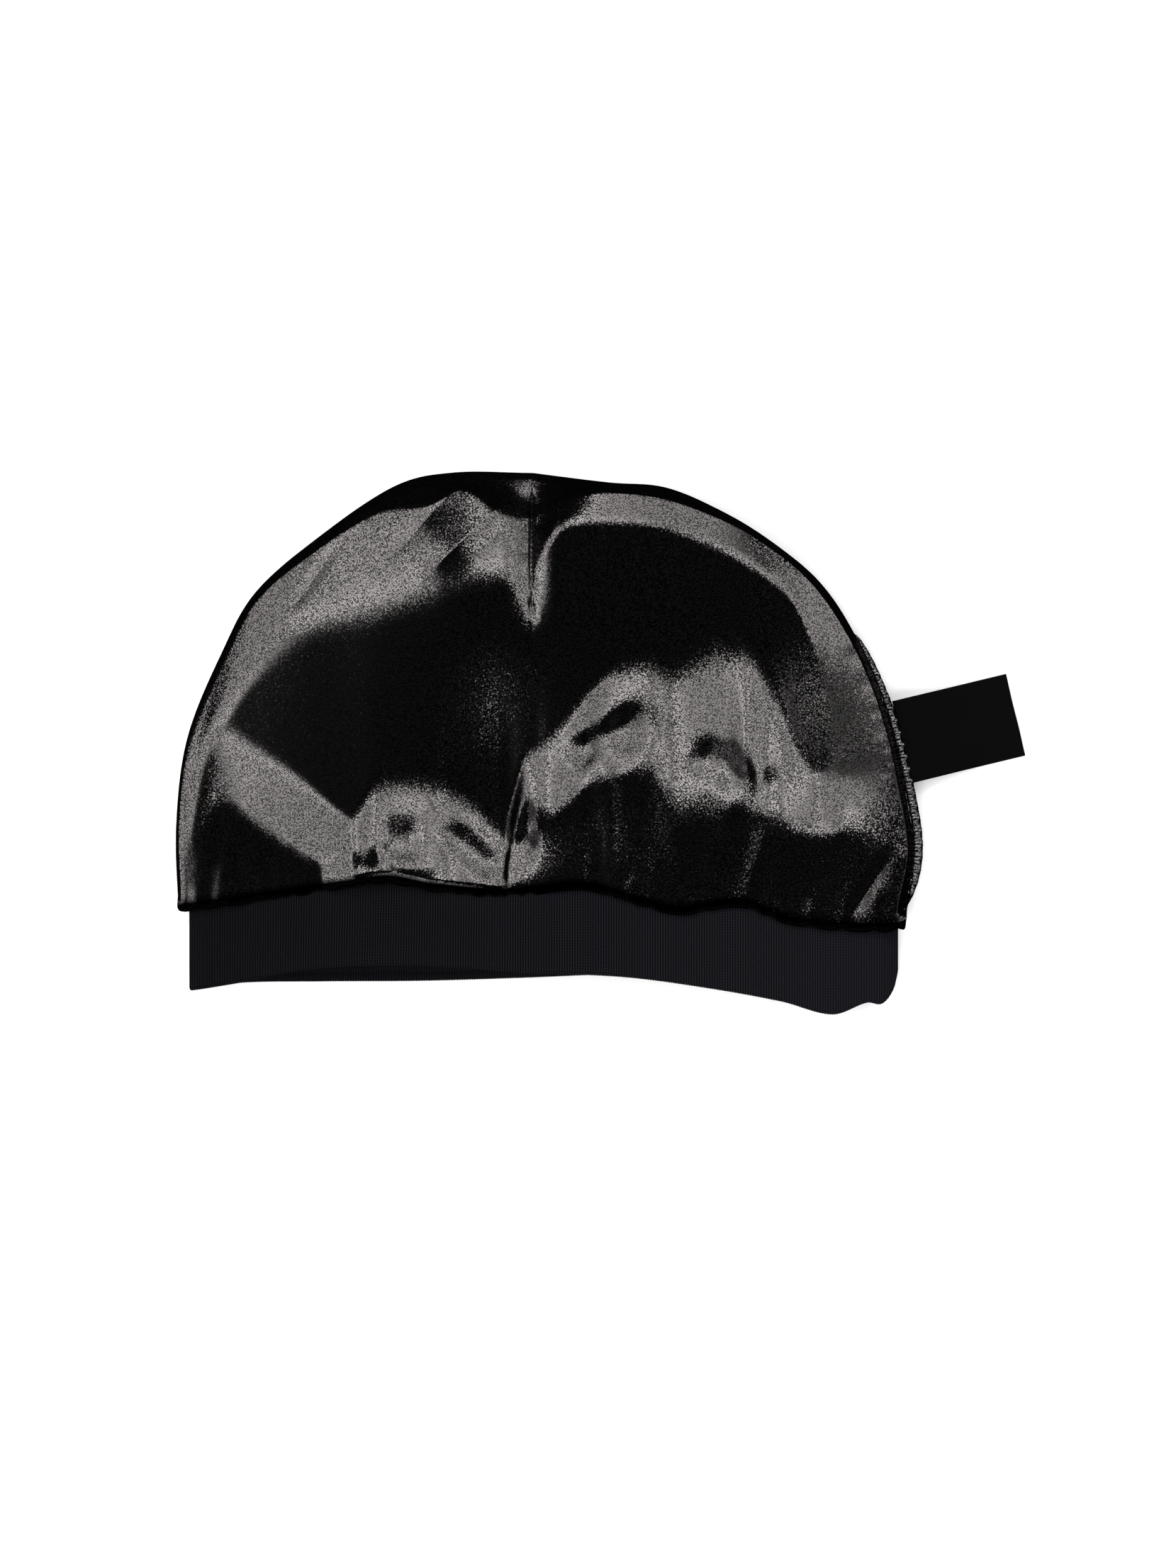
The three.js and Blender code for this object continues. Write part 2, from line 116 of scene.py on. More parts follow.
def ease(value, start, end):
    t = np.clip((value - start) / (end - start), 0, 1)
    return t * t * (3 - 2 * t)


def along(rows, column, x):
    # A smooth curve through the rows, whose pull at each row comes from the rows on either side
    xs, ys = rows["x"], rows[column]
    i = np.clip(np.searchsorted(xs, x) - 1, 0, len(xs) - 2)
    before = np.maximum(i - 1, 0)
    after = np.minimum(i + 2, len(xs) - 1)
    span = xs[i + 1] - xs[i]
    t = np.clip((x - xs[i]) / span, 0, 1)
    start_pull = span * (ys[i + 1] - ys[before]) / (xs[i + 1] - xs[before])
    end_pull = span * (ys[after] - ys[i]) / (xs[after] - xs[i])
    bend = mix(ys[i], ys[i + 1], t * t * (3 - 2 * t))
    return bend + t * (1 - t) ** 2 * start_pull + t * t * (t - 1) * end_pull


print("edge of the satin below the dart, mm:", along(SATIN_EDGE, "y", MIDDLE_X).round(1))

# %% Lines round the crown
CURVE_STEPS = 40
EDGE_STEPS = 160


def edge_line(rows):
    # The same for a line that may turn back in x: a centripetal curve, which makes no loops
    points = np.column_stack([rows["x"], rows["y"]])
    points = np.vstack([2 * points[0] - points[1], points, 2 * points[-1] - points[-2]])
    t = np.linspace(0, 1, CURVE_STEPS, endpoint=False)[:, None]
    line = []
    for p0, p1, p2, p3 in zip(points, points[1:], points[2:], points[3:]):
        d0, d1, d2 = [math.sqrt(math.dist(a, b)) for a, b in ((p0, p1), (p1, p2), (p2, p3))]
        m1 = d1 * ((p1 - p0) / d0 - (p2 - p0) / (d0 + d1)) + (p2 - p1)
        m2 = (p2 - p1) - d1 * ((p3 - p1) / (d1 + d2) - (p3 - p2) / d2)
        curve = mix(p1, p2, t * t * (3 - 2 * t))
        line.append(curve + t * (1 - t) ** 2 * m1 + t * t * (t - 1) * m2)
    return np.vstack([*line, points[-2]])


LEFT_LINE = edge_line(CROWN_LEFT)
RIGHT_LINE = edge_line(CROWN_RIGHT)


def edge_point(line, turn, share, inset):
    # A point at a share of the line's length, moved in from the edge by the inset
    steps = np.linalg.norm(np.diff(line, axis=0), axis=1)
    run = np.concatenate([[0], np.cumsum(steps)]) / steps.sum()
    tangent = np.gradient(line, axis=0)
    tangent /= np.linalg.norm(tangent, axis=1)[:, None]
    x, y, tx, ty = [np.interp(share, run, c) for c in (*line.T, *tangent.T)]
    return x + inset * turn * ty, y - inset * turn * tx


def edge_distance(x, y, inset):
    share = np.linspace(0, 1, EDGE_STEPS)
    nearest = np.full(np.shape(x), np.inf)
    for line, turn in ((LEFT_LINE, 1), (RIGHT_LINE, -1)):
        ex, ey = edge_point(line, turn, share, inset)
        for ax, ay, bx, by in zip(ex, ey, ex[1:], ey[1:]):
            dx, dy = bx - ax, by - ay
            t = np.clip(((x - ax) * dx + (y - ay) * dy) / (dx * dx + dy * dy), 0, 1)
            nearest = np.minimum(nearest, np.hypot(x - ax - t * dx, y - ay - t * dy))
    return nearest


outline = np.vstack([LEFT_LINE, RIGHT_LINE])
print("edge of the crown, mm:", np.ptp(outline, axis=0).round(1))

# %% From the tables to the frame
crown_low, crown_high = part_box("crown")
shift_x = crown_low[0] / MM - outline[:, 0].min()
shift_y = crown_high[1] / MM - outline[:, 1].max()
SHIFT = np.array([shift_x, shift_y, 0])
print("the frame's origin lies off the tables' by, mm:", (-SHIFT).round(2))

# %% [markdown]
# ## The heights in tables
# Cloth that was sewn to fit a head can't lie flat, so it stands up in soft terraces. Satin shows
# them clearly: level cloth mirrors the dark above it, and a slope mirrors a lamp. So the edges of
# the bright areas in the photo were read as the feet and brows of slopes. One table has the slope
# behind the band, one the slope inside the outer edge, and one the folds, each along a line. A fold
# has its own breadth on each side of its line, and it is either sharp or soft along its top.

# %% Slopes behind the band
CROWN_FRONT = table(
    "x seam_z foot_y foot_z brow_y brow_z",
    (-140, 7.5, -50, 8, -20, 9),
    (-131, 8, -34, 8.2, 4, 11.6),
    (-125.5, 8, -25, 8.2, 9, 13.5),
    (-113, 8.2, -32, 8.2, 1.3, 15.2),
    (-98, 8.8, -41, 8.6, -10, 16.9),
    (-86.5, 9.5, -45, 9.2, -20.6, 18.1),
    (-81, 9.8, -53, 8.8, -22, 18.7),
    (-73, 10, -55, 8.6, -9.5, 19.6),
    (-56, 10, -58, 8.6, -8.5, 20.7),
    (-50, 10.4, -57, 9, -11, 19.9),
    (-41, 10.6, -56, 9.4, -17, 18.9),
    (-35.5, 10.8, -55, 10, -24, 18.1),
    (-31.5, 10.8, -54, 10.3, -25, 17.6),
    (-25, 10.9, -22, 15.4, -3, 18.8),
    (-21, 11, -25, 13.9, 0, 19.4),
    (-17.3, 11.6, -28, 13.4, 4, 20.4),
    (-11.4, 12, -24, 13.1, 10, 21.5),
    (-4.4, 12, -17, 13, 18.5, 22.8),
    (1.5, 12, -8, 13.9, 24, 23.3),
    (7.4, 12, -14, 13, 29, 23.5),
    (16, 11.5, -16.5, 12.6, 32, 23.7),
    (24, 11.4, -29, 11.2, 31, 23.7),
    (34.5, 11, -29, 11, 37, 23.7),
    (41, 10.8, -27, 10.6, 40, 23.6),
    (48, 10.6, -17, 10.7, 36, 23.3),
    (54.5, 10.4, -30, 10, 27, 22.5),
    (59.2, 10.2, -32, 9.8, 16, 20.9),
    (64, 10.2, -33, 9.8, 2, 19.2),
    (71, 10.2, -33, 10, -8, 18),
    (76, 10.1, -33, 10, -7, 17.2),
    (81, 10, -32, 10, -6, 16),
    (95, 9.8, -44, 9.7, 2, 13),
    (104, 9.5, -46, 9.5, -4, 11),
)
print("highest brow, mm:", CROWN_FRONT["brow_z"].max())

# %% Slopes inside the outer edge
CROWN_REAR = table(
    "x crest_z shoulder_z shelf slope",
    (-140, 9, 7, 1.2, 9),
    (-131, 11.6, 7, 1.2, 10),
    (-125.5, 13.7, 7.2, 1.5, 12),
    (-113, 15.5, 8.5, 2.5, 17),
    (-98, 17.5, 9.5, 3.5, 25.6),
    (-86.5, 18.9, 10, 4, 32),
    (-72, 20.9, 11, 6, 39),
    (-57, 22.6, 14, 11, 44),
    (-45, 23.7, 13.5, 7, 44),
    (-32, 23.7, 16, 15.5, 42),
    (-24, 23.6, 16.3, 16, 40),
    (-18, 23.6, 16, 13, 28),
    (-12, 23.7, 18, 9, 20),
    (0, 23.7, 19.3, 5, 17.5),
    (21, 23.7, 19.3, 5.2, 17),
    (45, 23.5, 19, 3.6, 15),
    (62, 23, 18, 3.5, 14),
    (68, 22.6, 18.8, 4, 17),
    (75, 21.8, 17.8, 4, 20),
    (85, 19.5, 15.2, 3.5, 19),
    (95, 16, 12.6, 3, 14),
    (104, 12, 8.8, 2.5, 8),
)
print("highest crest, mm:", CROWN_REAR["crest_z"].max())

# %% Folds
FOLDS = table(
    "x0 y0 x1 y1 left right height sharp",
    (-27, 83, -60, 51, 10, 28, 2.2, 1),
    (-48, 84, -71, 57, 10, 6, -0.7, 1),
    (-86, 67, -103, 40, 4, 4, -0.5, 1),
    (-33, 55, -36.5, -14, 12, 12, -0.15, 1),
    (-34, -33, -18.5, -35.5, 10, 13, 1.8, 0),
    (-30.5, -32, -29.5, -54, 6, 2.5, -0.8, 1),
    (-22.7, 96, -22.7, 26, 9, 10, -3, 1),
    (-23.2, 47, -21, 38, 2, 2, -1, 1),
    (-22.7, 100, -22.7, 38, 1.6, 1.6, -0.6, 1),
    (-12, -8.5, 19, 11, 9, 13, 2.6, 0),
    (28, -3.5, 52, -12, 10, 10, 1.5, 0),
    (38, -11, 62, -18, 9, 10, 1.2, 0),
    (4.3, -60, 2.2, -6, 6, 9, 0.5, 1),
    (-3.4, -60, 0, -16, 5, 5, -0.4, 0),
    (45.5, -60, 55, -26, 7, 7, -0.45, 1),
    (81, -60, 98, -34, 4, 6, 0.7, 1),
    (-74, -34, -57, -35, 13, 8, 1.7, 0),
    (-53.5, -26.5, -29.5, -48.5, 7, 6, 1.5, 0),
    (-74, -47, -50, -49, 8, 6, 1.6, 0),
    (-93, -47, -64, -42.5, 12, 4, 2.4, 0),
    (-73, -31, -67.5, -49, 3, 3, 0.9, 1),
    (-126, -62, -123.5, -34, 5, 5, 0.5, 0),
)
print("folds:", len(FOLDS["x0"]))

# %% [markdown]
# ## Small creases from the stitching
# Every line of stitches draws the satin together, so short creases run away from it: up from the
# band, in from the side seam and out from the dart. They are too many to measure and no two are
# alike, so a seeded random table stands in for them, and each run of the script gives the same.

# %% Random creases
SEED = 8
RUN_BACK = 0.6
rng = np.random.default_rng(SEED)


def crease_rows(starts, ways, reach, steepness):
    count = len(starts)
    ends = starts + ways
    side = rng.uniform(*reach, (2, count))
    rise = rng.uniform(*steepness, count) * side.mean(0) / 2 * rng.choice([-1, 1], count)
    return np.column_stack([starts - RUN_BACK * ways, ends, *side, rise, rng.integers(0, 2, count)])


print("seed of the creases:", SEED)

# %% Creases up from the band
WANDER = 2.0
BAND_CREASES, BAND_CREASE_SPAN, BAND_CREASE_RUN = 44, (-138, 101), (5, 22)
BAND_CREASE_INSET = 2.0

gather_x = np.sort(rng.uniform(*BAND_CREASE_SPAN, BAND_CREASES))
gather_start = np.column_stack([gather_x, along(SATIN_EDGE, "y", gather_x) + BAND_CREASE_INSET])
gather_sideways = rng.normal(0, WANDER, BAND_CREASES)
gather_way = np.column_stack([gather_sideways, rng.uniform(*BAND_CREASE_RUN, BAND_CREASES)])
print("longest crease at the band, mm:", gather_way[:, 1].max().round(1))

# %% Creases in from the side seam and out from the dart
SEAM_CREASES, SEAM_CREASE_SPAN, SEAM_CREASE_RUN = 16, (0.08, 0.42), (4, 10)
SEAM_CREASE_INSET = 1.0
DART_CREASES, DART_CREASE_SPAN, DART_CREASE_RUN = 12, (45, 82), 5

seam_share = np.linspace(*SEAM_CREASE_SPAN, SEAM_CREASES)
seam_start = np.column_stack(edge_point(RIGHT_LINE, -1, seam_share, SEAM_CREASE_INSET))
seam_reach = SEAM_CREASE_INSET + rng.uniform(*SEAM_CREASE_RUN, SEAM_CREASES)
seam_end = np.column_stack(edge_point(RIGHT_LINE, -1, seam_share, seam_reach))
dart_y = np.linspace(*DART_CREASE_SPAN, DART_CREASES)
dart_start = np.column_stack([np.full(DART_CREASES, MIDDLE_X), dart_y])
dart_side = rng.choice([-DART_CREASE_RUN, DART_CREASE_RUN], DART_CREASES)
dart_way = np.column_stack([dart_side, rng.normal(0, WANDER, DART_CREASES)])
CREASES = table(
    "x0 y0 x1 y1 left right height sharp",
    *crease_rows(gather_start, gather_way, reach=(2.5, 7), steepness=(0.02, 0.1)),
    *crease_rows(seam_start, seam_end - seam_start, reach=(1.8, 3), steepness=(0.08, 0.2)),
    *crease_rows(dart_start, dart_way, reach=(1.6, 2.6), steepness=(0.06, 0.18)),
)
print("small creases:", len(CREASES["x0"]))

# %% [markdown]
# ## The lying form
# The crown and the band are both loops of cloth pressed flat: an upper layer with folds, a lower
# layer on the table and a rounded edge between them. A cloth simulation could drop a sewn cap on
# a table, but its folds would fall where they like. Here each slope has to mirror the lamp that
# lights it in the photo, so functions of x and y add up the tables, and the same functions place
# the crown, the band and the stitches, which then meet wherever the tables put the seam.

# %% Slopes and folds
FOLD_FULL, FOLD_WANES = 0.3, 0.6


def quarter_round(distance, width):
    t = np.clip(distance / width, 0, 1)
    return np.sqrt(1 - (1 - t) ** 2)


def rounded_top(t, soft=0.45):
    # A straight rise that levels out at its top
    t = np.clip(t, 0, 1)
    return (t - np.maximum(t - 1 + soft, 0) ** 2 / (2 * soft)) / (1 - soft / 2)


def rounded_slope(t, soft=0.25):
    # A straight rise with a soft foot and a soft brow
    def rise(s):
        s = np.maximum(s, 0)
        return np.where(s < soft, s * s / (2 * soft), s - soft / 2)

    t = np.clip(t, 0, 1)
    return (rise(t) - rise(t - 1 + soft)) / (1 - soft)


def folds(rows, x, y):
    # Each fold swells from its start, keeps its height, and dies away before its end
    total = np.zeros(np.shape(x))
    for x0, y0, x1, y1, left, right, height, sharp in zip(*rows.values()):
        dx, dy = x1 - x0, y1 - y0
        length = math.hypot(dx, dy)
        t = ((x - x0) * dx + (y - y0) * dy) / length**2
        off = ((x - x0) * dy - (y - y0) * dx) / length
        s = np.clip(np.abs(off) / np.where(off > 0, right, left), 0, 1)
        across = (1 - s) ** 2 if sharp else 0.5 + 0.5 * np.cos(np.pi * s)
        total += height * across * ease(t, 0, FOLD_FULL) * (1 - ease(t, FOLD_WANES, 1))
    return total


print("one soft slope in quarters:", rounded_slope(np.linspace(0, 1, 5)).round(2))

# %% Height of the upper satin
CROWN_EDGE_Z = 4.5
RIM_LIFT = 1.0
ROLL_DEPTH = 1.2
SHORTEST_RUN = 1.0
TILT_START_Y, TILT_END_Y = -10.0, 44.0
FOLD_FADE = 10.0
CREASE_FADE = 2.0


def crown_height(x, y, distance):
    seam_y = along(SATIN_EDGE, "y", x) + ROLL_DEPTH
    front = [along(CROWN_FRONT, column, x) for column in list(CROWN_FRONT)[1:]]
    rear = [along(CROWN_REAR, column, x) for column in list(CROWN_REAR)[1:]]
    seam_z, foot_y, foot_z, brow_y, brow_z = front
    crest_z, shoulder_z, shelf, slope = rear
    low = mix(seam_z, foot_z, ease(y, seam_y, np.maximum(foot_y, seam_y + SHORTEST_RUN)))
    level = mix(low, brow_z, rounded_slope((y - foot_y) / (brow_y - foot_y)))
    level = level + (crest_z - brow_z) * ease(y, TILT_START_Y, TILT_END_Y)
    shoulder_z = np.minimum(shoulder_z, level)
    steep = mix(CROWN_EDGE_Z + RIM_LIFT, shoulder_z, np.clip(distance / shelf, 0, 1))
    rim = mix(steep, level, rounded_top((distance - shelf) / (slope - shelf)))
    large = folds(FOLDS, x, y) * ease(distance, 0, FOLD_FADE)
    small = folds(CREASES, x, y) * ease(distance, 0, CREASE_FADE)
    return rim + large + small


def loop_height(upper, distance, top_z, edge_z, round_top, round_below, inset):
    # The section of a loop pressed flat: each layer turns round towards the edge in a quarter
    over = mix(edge_z, top_z - inset, quarter_round(distance, round_top - inset))
    under = mix(edge_z, inset, quarter_round(distance, round_below - inset))
    return np.where(upper, over, under)


middle = np.array([0.0]), np.array([TILT_END_Y])
print("satin over the middle, mm:", crown_height(*middle, edge_distance(*middle, 0.0)).round(1))

# %% Points of the crown
CROWN_ROUND_TOP = 3.0
CROWN_ROUND_BELOW = 5.0


def crown_point(across, upper, share, inset):
    # Across runs from -1 at the left edge to 1 at the right one, and share from the seam to the top
    out = np.abs(across)
    on_left = across < 0
    left_x, left_y = edge_point(LEFT_LINE, 1, share, inset)
    right_x, right_y = edge_point(RIGHT_LINE, -1, share, inset)
    edge_x, edge_y = np.where(on_left, left_x, right_x), np.where(on_left, left_y, right_y)
    foot_left = edge_point(LEFT_LINE, 1, 0, inset)[1]
    foot_right = edge_point(RIGHT_LINE, -1, 0, inset)[1]
    head_y = edge_point(LEFT_LINE, 1, 1, inset)[1]
    middle_y = along(SATIN_EDGE, "y", MIDDLE_X) + ROLL_DEPTH
    x = mix(MIDDLE_X, edge_x, out)
    row_y = mix(mix(middle_y, head_y, share), edge_y, out**2)
    row_foot_y = mix(middle_y, np.where(on_left, foot_left, foot_right), out**2)
    foot_y = along(SATIN_EDGE, "y", x) + ROLL_DEPTH
    y = row_y + (foot_y - row_foot_y) * (1 - share) ** 3
    distance = edge_distance(x, y, inset)
    top_z = crown_height(x, y, distance)
    z = loop_height(upper, distance, top_z, CROWN_EDGE_Z, CROWN_ROUND_TOP, CROWN_ROUND_BELOW, inset)
    return np.column_stack([x, y, z])


print("head of the dart, mm:", crown_point(np.array([0.0]), True, np.array([1.0]), 0.0).round(1))

# %% Sections of the band
BAND_LEFT_X = -137.0
BAND_RIGHT_X = 99.2
BAND_SECTIONS = table(
    "x crown_z mouth_z front_y back_y",
    (BAND_LEFT_X, 5.2, 5.2, -82, -82),
    (-121.5, 6.2, 6.6, -79.4, -79.5),
    (-94, 8.5, 11.5, -74.4, -79),
    (-60, 9.5, 15, -73.2, -78.8),
    (-26, 11, 13.5, -75.3, -77.8),
    (8, 10.5, 11, -77, -76.6),
    (36, 9.5, 9.6, -80.8, -77.5),
    (60, 8.6, 8.6, -85.2, -79),
    (77, 8, 8, -89.5, -81),
    (88.5, 7.6, 7.6, -85.6, -82.5),
    (93.5, 7, 7, -86, -83.5),
    (97.5, 6.2, 6.2, -81.5, -81),
    (BAND_RIGHT_X, 5.6, 5.6, -76, -76),
)
print("width of the band, mm:", round(BAND_RIGHT_X - BAND_LEFT_X, 1))

# %% Points of the band
GAP = 0.4
BAND_EDGE_Z = 2.6
BAND_ROUND = 7.0


def band_point(across, upper, down, inset, beyond=0.0):
    end = np.where(across < 0, BAND_LEFT_X + inset, BAND_RIGHT_X - inset)
    x = mix(MIDDLE_X, end, np.abs(across))
    sections = [along(BAND_SECTIONS, column, x) for column in list(BAND_SECTIONS)[1:]]
    crown_z, mouth_z, front_y, back_y = sections
    mouth_y = np.where(upper, front_y, back_y) - beyond
    top_z = mix(crown_z, mouth_z, ease(down, 0, 1))
    z = loop_height(upper, np.abs(end - x), top_z, BAND_EDGE_Z, BAND_ROUND, BAND_ROUND, inset)
    return np.column_stack([x, mix(along(SATIN_EDGE, "y", x) - GAP, mouth_y, down), z])


print("middle of the mouth, mm:", band_point(np.array([0.0]), True, 1.0, 0.0).round(1))

# %% Points of the roll
ROLL_OVERHANG = 2.0
ROLL_ENDS = (-0.05, 0.02)
PUCKER_DEPTH = 0.55
PUCKER_WIDTH = 1.6


def pucker(x):
    # The roll is pinched wherever a crease runs up from the band
    near = np.exp(-(((np.asarray(x)[:, None] - gather_x) / PUCKER_WIDTH) ** 2))
    return 1 - PUCKER_DEPTH * near.max(axis=1)


def roll_point(across, upper, share, inset):
    seam = band_point(across, upper, 0.0, inset)
    foot = crown_point(across, upper, np.zeros(len(across)), inset)
    rise = np.sin(np.pi / 2 * share)
    x, z = mix(seam[:, 0], foot[:, 0], rise), mix(seam[:, 2], foot[:, 2], rise)
    lift = np.where(upper, ease(1 - np.abs(across), *ROLL_ENDS), 0)
    back = mix(seam[:, 1] + GAP, foot[:, 1], 1 - np.cos(np.pi / 2 * share))
    over = (ROLL_OVERHANG * pucker(x) - inset) * np.sin(np.pi * share) * lift
    return np.column_stack([x, back - over, z])


print("the roll's overhang, mm:", (ROLL_OVERHANG * pucker(gather_x)).min().round(2), "to", ROLL_OVERHANG)

# %% [markdown]
# ## From a flat grid to a sewn piece
# Cloth starts flat, so each piece starts as a flat grid that carries its own map of the cloth. Its
# points are moved to where the form puts them, and edges that fall together are sewn by merging.

# %% Sewing a grid
SEWING_DISTANCE = 1e-6


def sewn_grid(name, columns, rows, place):
    bm = bmesh.new()
    bm.loops.layers.uv.new("cloth")
    bmesh.ops.create_grid(bm, x_segments=columns, y_segments=rows, size=1.0, calc_uvs=True)
    flat = np.array([v.co for v in bm.verts])
    column = np.rint((flat[:, 0] + 1) / 2 * columns)
    row = np.rint((flat[:, 1] + 1) / 2 * rows)
    for vert, point in zip(bm.verts, (place(column, row) + SHIFT) * MM):
        vert.co = point
    bmesh.ops.remove_doubles(bm, verts=bm.verts, dist=SEWING_DISTANCE)
    return finished(name, bm)


def finished(name, bm):
    for face in bm.faces:
        face.smooth = True
    mesh = bpy.data.meshes.new(name)
    bm.to_mesh(mesh)
    bm.free()
    piece = bpy.data.objects.new(name, mesh)
    bpy.context.scene.collection.objects.link(piece)
    print(name, "has", len(mesh.polygons), "faces, mm:", [round(v / MM, 1) for v in piece.dimensions])
    return piece


# %% [markdown]
# ## Satin crown
# The crown is one wall of cloth. A sphere pressed flat could stand in for it, but the cap is hollow
# and open at its mouth, so a grid is sewn into a bag. Its rows run from the seam with the band, round
# the soft roll that hangs over it, up to the head of the dart, and back down on the inner face. The
# roll is puckered, because each gather pinches it. The upper layer has most of the columns, because
# the hidden one is plain.

# %% Satin crown
CROWN_WALL = 1.6
TOP_COLUMNS = 360
BOTTOM_COLUMNS = 40
ROLL_ROWS = 10
CROWN_ROWS = 150
CROWN_INNER_ROWS = 34
crown_rows = ROLL_ROWS + CROWN_ROWS + CROWN_INNER_ROWS + 2


def crown_place(column, row):
    # The inner face follows the outer one, and the last row falls on the first and closes the wall
    column = column % (TOP_COLUMNS + BOTTOM_COLUMNS)
    upper = column <= TOP_COLUMNS
    turn = np.where(upper, column / TOP_COLUMNS, 1 + (column - TOP_COLUMNS) / BOTTOM_COLUMNS)
    across = -np.cos(np.pi * turn)
    outer_rows = ROLL_ROWS + CROWN_ROWS
    back = outer_rows * (1 - (row - outer_rows - 1) / CROWN_INNER_ROWS)
    inner = (row > outer_rows) & (row < crown_rows)
    step = np.where(inner, back, np.where(row <= outer_rows, row, 0))
    points = np.zeros((len(row), 3))
    for wall, face in ((0.0, ~inner), (CROWN_WALL, inner)):
        roll = face & (step <= ROLL_ROWS)
        rest = face & (step > ROLL_ROWS)
        points[roll] = roll_point(across[roll], upper[roll], step[roll] / ROLL_ROWS, wall)
        points[rest] = crown_point(across[rest], upper[rest], (step[rest] - ROLL_ROWS) / CROWN_ROWS, wall)
    return points


crown = sewn_grid("satin_crown", TOP_COLUMNS + BOTTOM_COLUMNS, crown_rows, crown_place)

# %% [markdown]
# ## Knit band
# The band is a tube of fine rib knit, folded double along its mouth. Its ribs could be drawn by the
# material alone, but they also notch the fold where it is seen edge on, so they are real grooves, a
# few columns to each, evenly spaced along the cloth. The fold at the mouth is a half-round turn from
# the inner face to the outer one.

# %% Knit band
BAND_WALL = 2.2
RIBS_A_SIDE = 276
COLUMNS_A_RIB = 4
RIB_DEPTH = 0.3
BAND_ROWS = 14
BAND_INNER_ROWS = 5
BAND_FOLD_ROWS = 4


def band_place(column, row):
    side = RIBS_A_SIDE * COLUMNS_A_RIB
    column = column % (2 * side)
    upper = column <= side
    share = np.where(upper, column, 2 * side - column) / side
    x = mix(BAND_LEFT_X, BAND_RIGHT_X, share)
    across = (x - MIDDLE_X) / np.where(x < MIDDLE_X, MIDDLE_X - BAND_LEFT_X, BAND_RIGHT_X - MIDDLE_X)
    groove = RIB_DEPTH * (0.5 - 0.5 * np.cos(2 * np.pi * column / COLUMNS_A_RIB))
    back = row - BAND_ROWS - 1
    turn = np.clip((back - BAND_INNER_ROWS) / BAND_FOLD_ROWS, 0, 1)
    thickness = BAND_WALL - 2 * groove
    inset = np.where(back < 0, groove, groove + thickness * (0.5 + 0.5 * np.cos(np.pi * turn)))
    beyond = np.where(back < 0, 0, thickness / 2 * np.sin(np.pi * turn))
    down = np.where(back < 0, 1 - row / BAND_ROWS, np.clip(back / BAND_INNER_ROWS, 0, 1))
    return band_point(across, upper, down, inset, beyond)


band_rows = BAND_ROWS + 1 + BAND_INNER_ROWS + BAND_FOLD_ROWS
band = sewn_grid("knit_band", 2 * RIBS_A_SIDE * COLUMNS_A_RIB, band_rows, band_place)

# %% [markdown]
# ## Overlocked side seam
# With the cap inside out, the seam allowance stands out from its right side as a narrow puckered
# strip of satin. An overlock machine has wrapped thread round and round its raw edge. Bevelled
# curves could make both, but the thread has to hug the strip as it narrows towards its ends. So one
# function gives the strip's flat oval section, and the thread is a thin coil on that same section.

# %% Seam allowance
SEAM_LOW, SEAM_HIGH = 0.0, 0.43
SEAM_OVERLAP = 0.5
SEAM_WIDTH = 3.6
SEAM_WALL = 1.8
SEAM_PUCKER = 0.45
SEAM_PUCKERS = 23
SEAM_END = 0.14
SEAM_LOW_STRETCH = 0.9
SEAM_TOP_WIDTH = 0.55
SEAM_NARROWS_FROM = 0.5
SEAM_ROWS = 220
SEAM_SIDES = 16
THREAD = 0.2


def seam_centre(share):
    place = mix(SEAM_LOW, SEAM_HIGH, share)
    x, y = edge_point(RIGHT_LINE, -1, place, SEAM_OVERLAP - SEAM_WIDTH / 2)
    near_x, near_y = edge_point(RIGHT_LINE, -1, place, SEAM_OVERLAP)
    z = CROWN_EDGE_Z + SEAM_PUCKER * np.sin(2 * np.pi * SEAM_PUCKERS * share)
    outward = np.column_stack([x - near_x, y - near_y, np.zeros(len(share))]) / (SEAM_WIDTH / 2)
    return np.column_stack([x, y, z]), outward


def seam_section(share, angle, extra):
    centre, outward = seam_centre(share)
    ends = quarter_round(np.minimum(SEAM_LOW_STRETCH * share, 1 - share), SEAM_END)
    taper = ends * mix(1, SEAM_TOP_WIDTH, ease(share, SEAM_NARROWS_FROM, 1))
    width = (SEAM_WIDTH / 2 - THREAD + extra) * taper
    wall = (SEAM_WALL / 2 - THREAD + extra) * taper
    lean = (1 - taper) * (SEAM_WIDTH / 2)
    up = np.array([0, 0, 1.0])
    across = (width * np.cos(angle) - lean)[:, None] * outward
    return centre + across + (wall * np.sin(angle))[:, None] * up


def seam_place(column, row):
    return seam_section(row / SEAM_ROWS, -2 * np.pi * column / SEAM_SIDES, 0.0)


seam = sewn_grid("seam_allowance", SEAM_SIDES, SEAM_ROWS, seam_place)

# %% Overlock thread
STITCHES = 70
STEPS_A_STITCH = 10
THREAD_SIDES = 6
COIL_ENDS = (0.02, 0.98)
SEAM_CHORD = (0.1, 0.9)


def coil(step):
    share = mix(*COIL_ENDS, step / (STITCHES * STEPS_A_STITCH))
    return seam_section(share, 2 * np.pi * step / STEPS_A_STITCH, THREAD / 2)


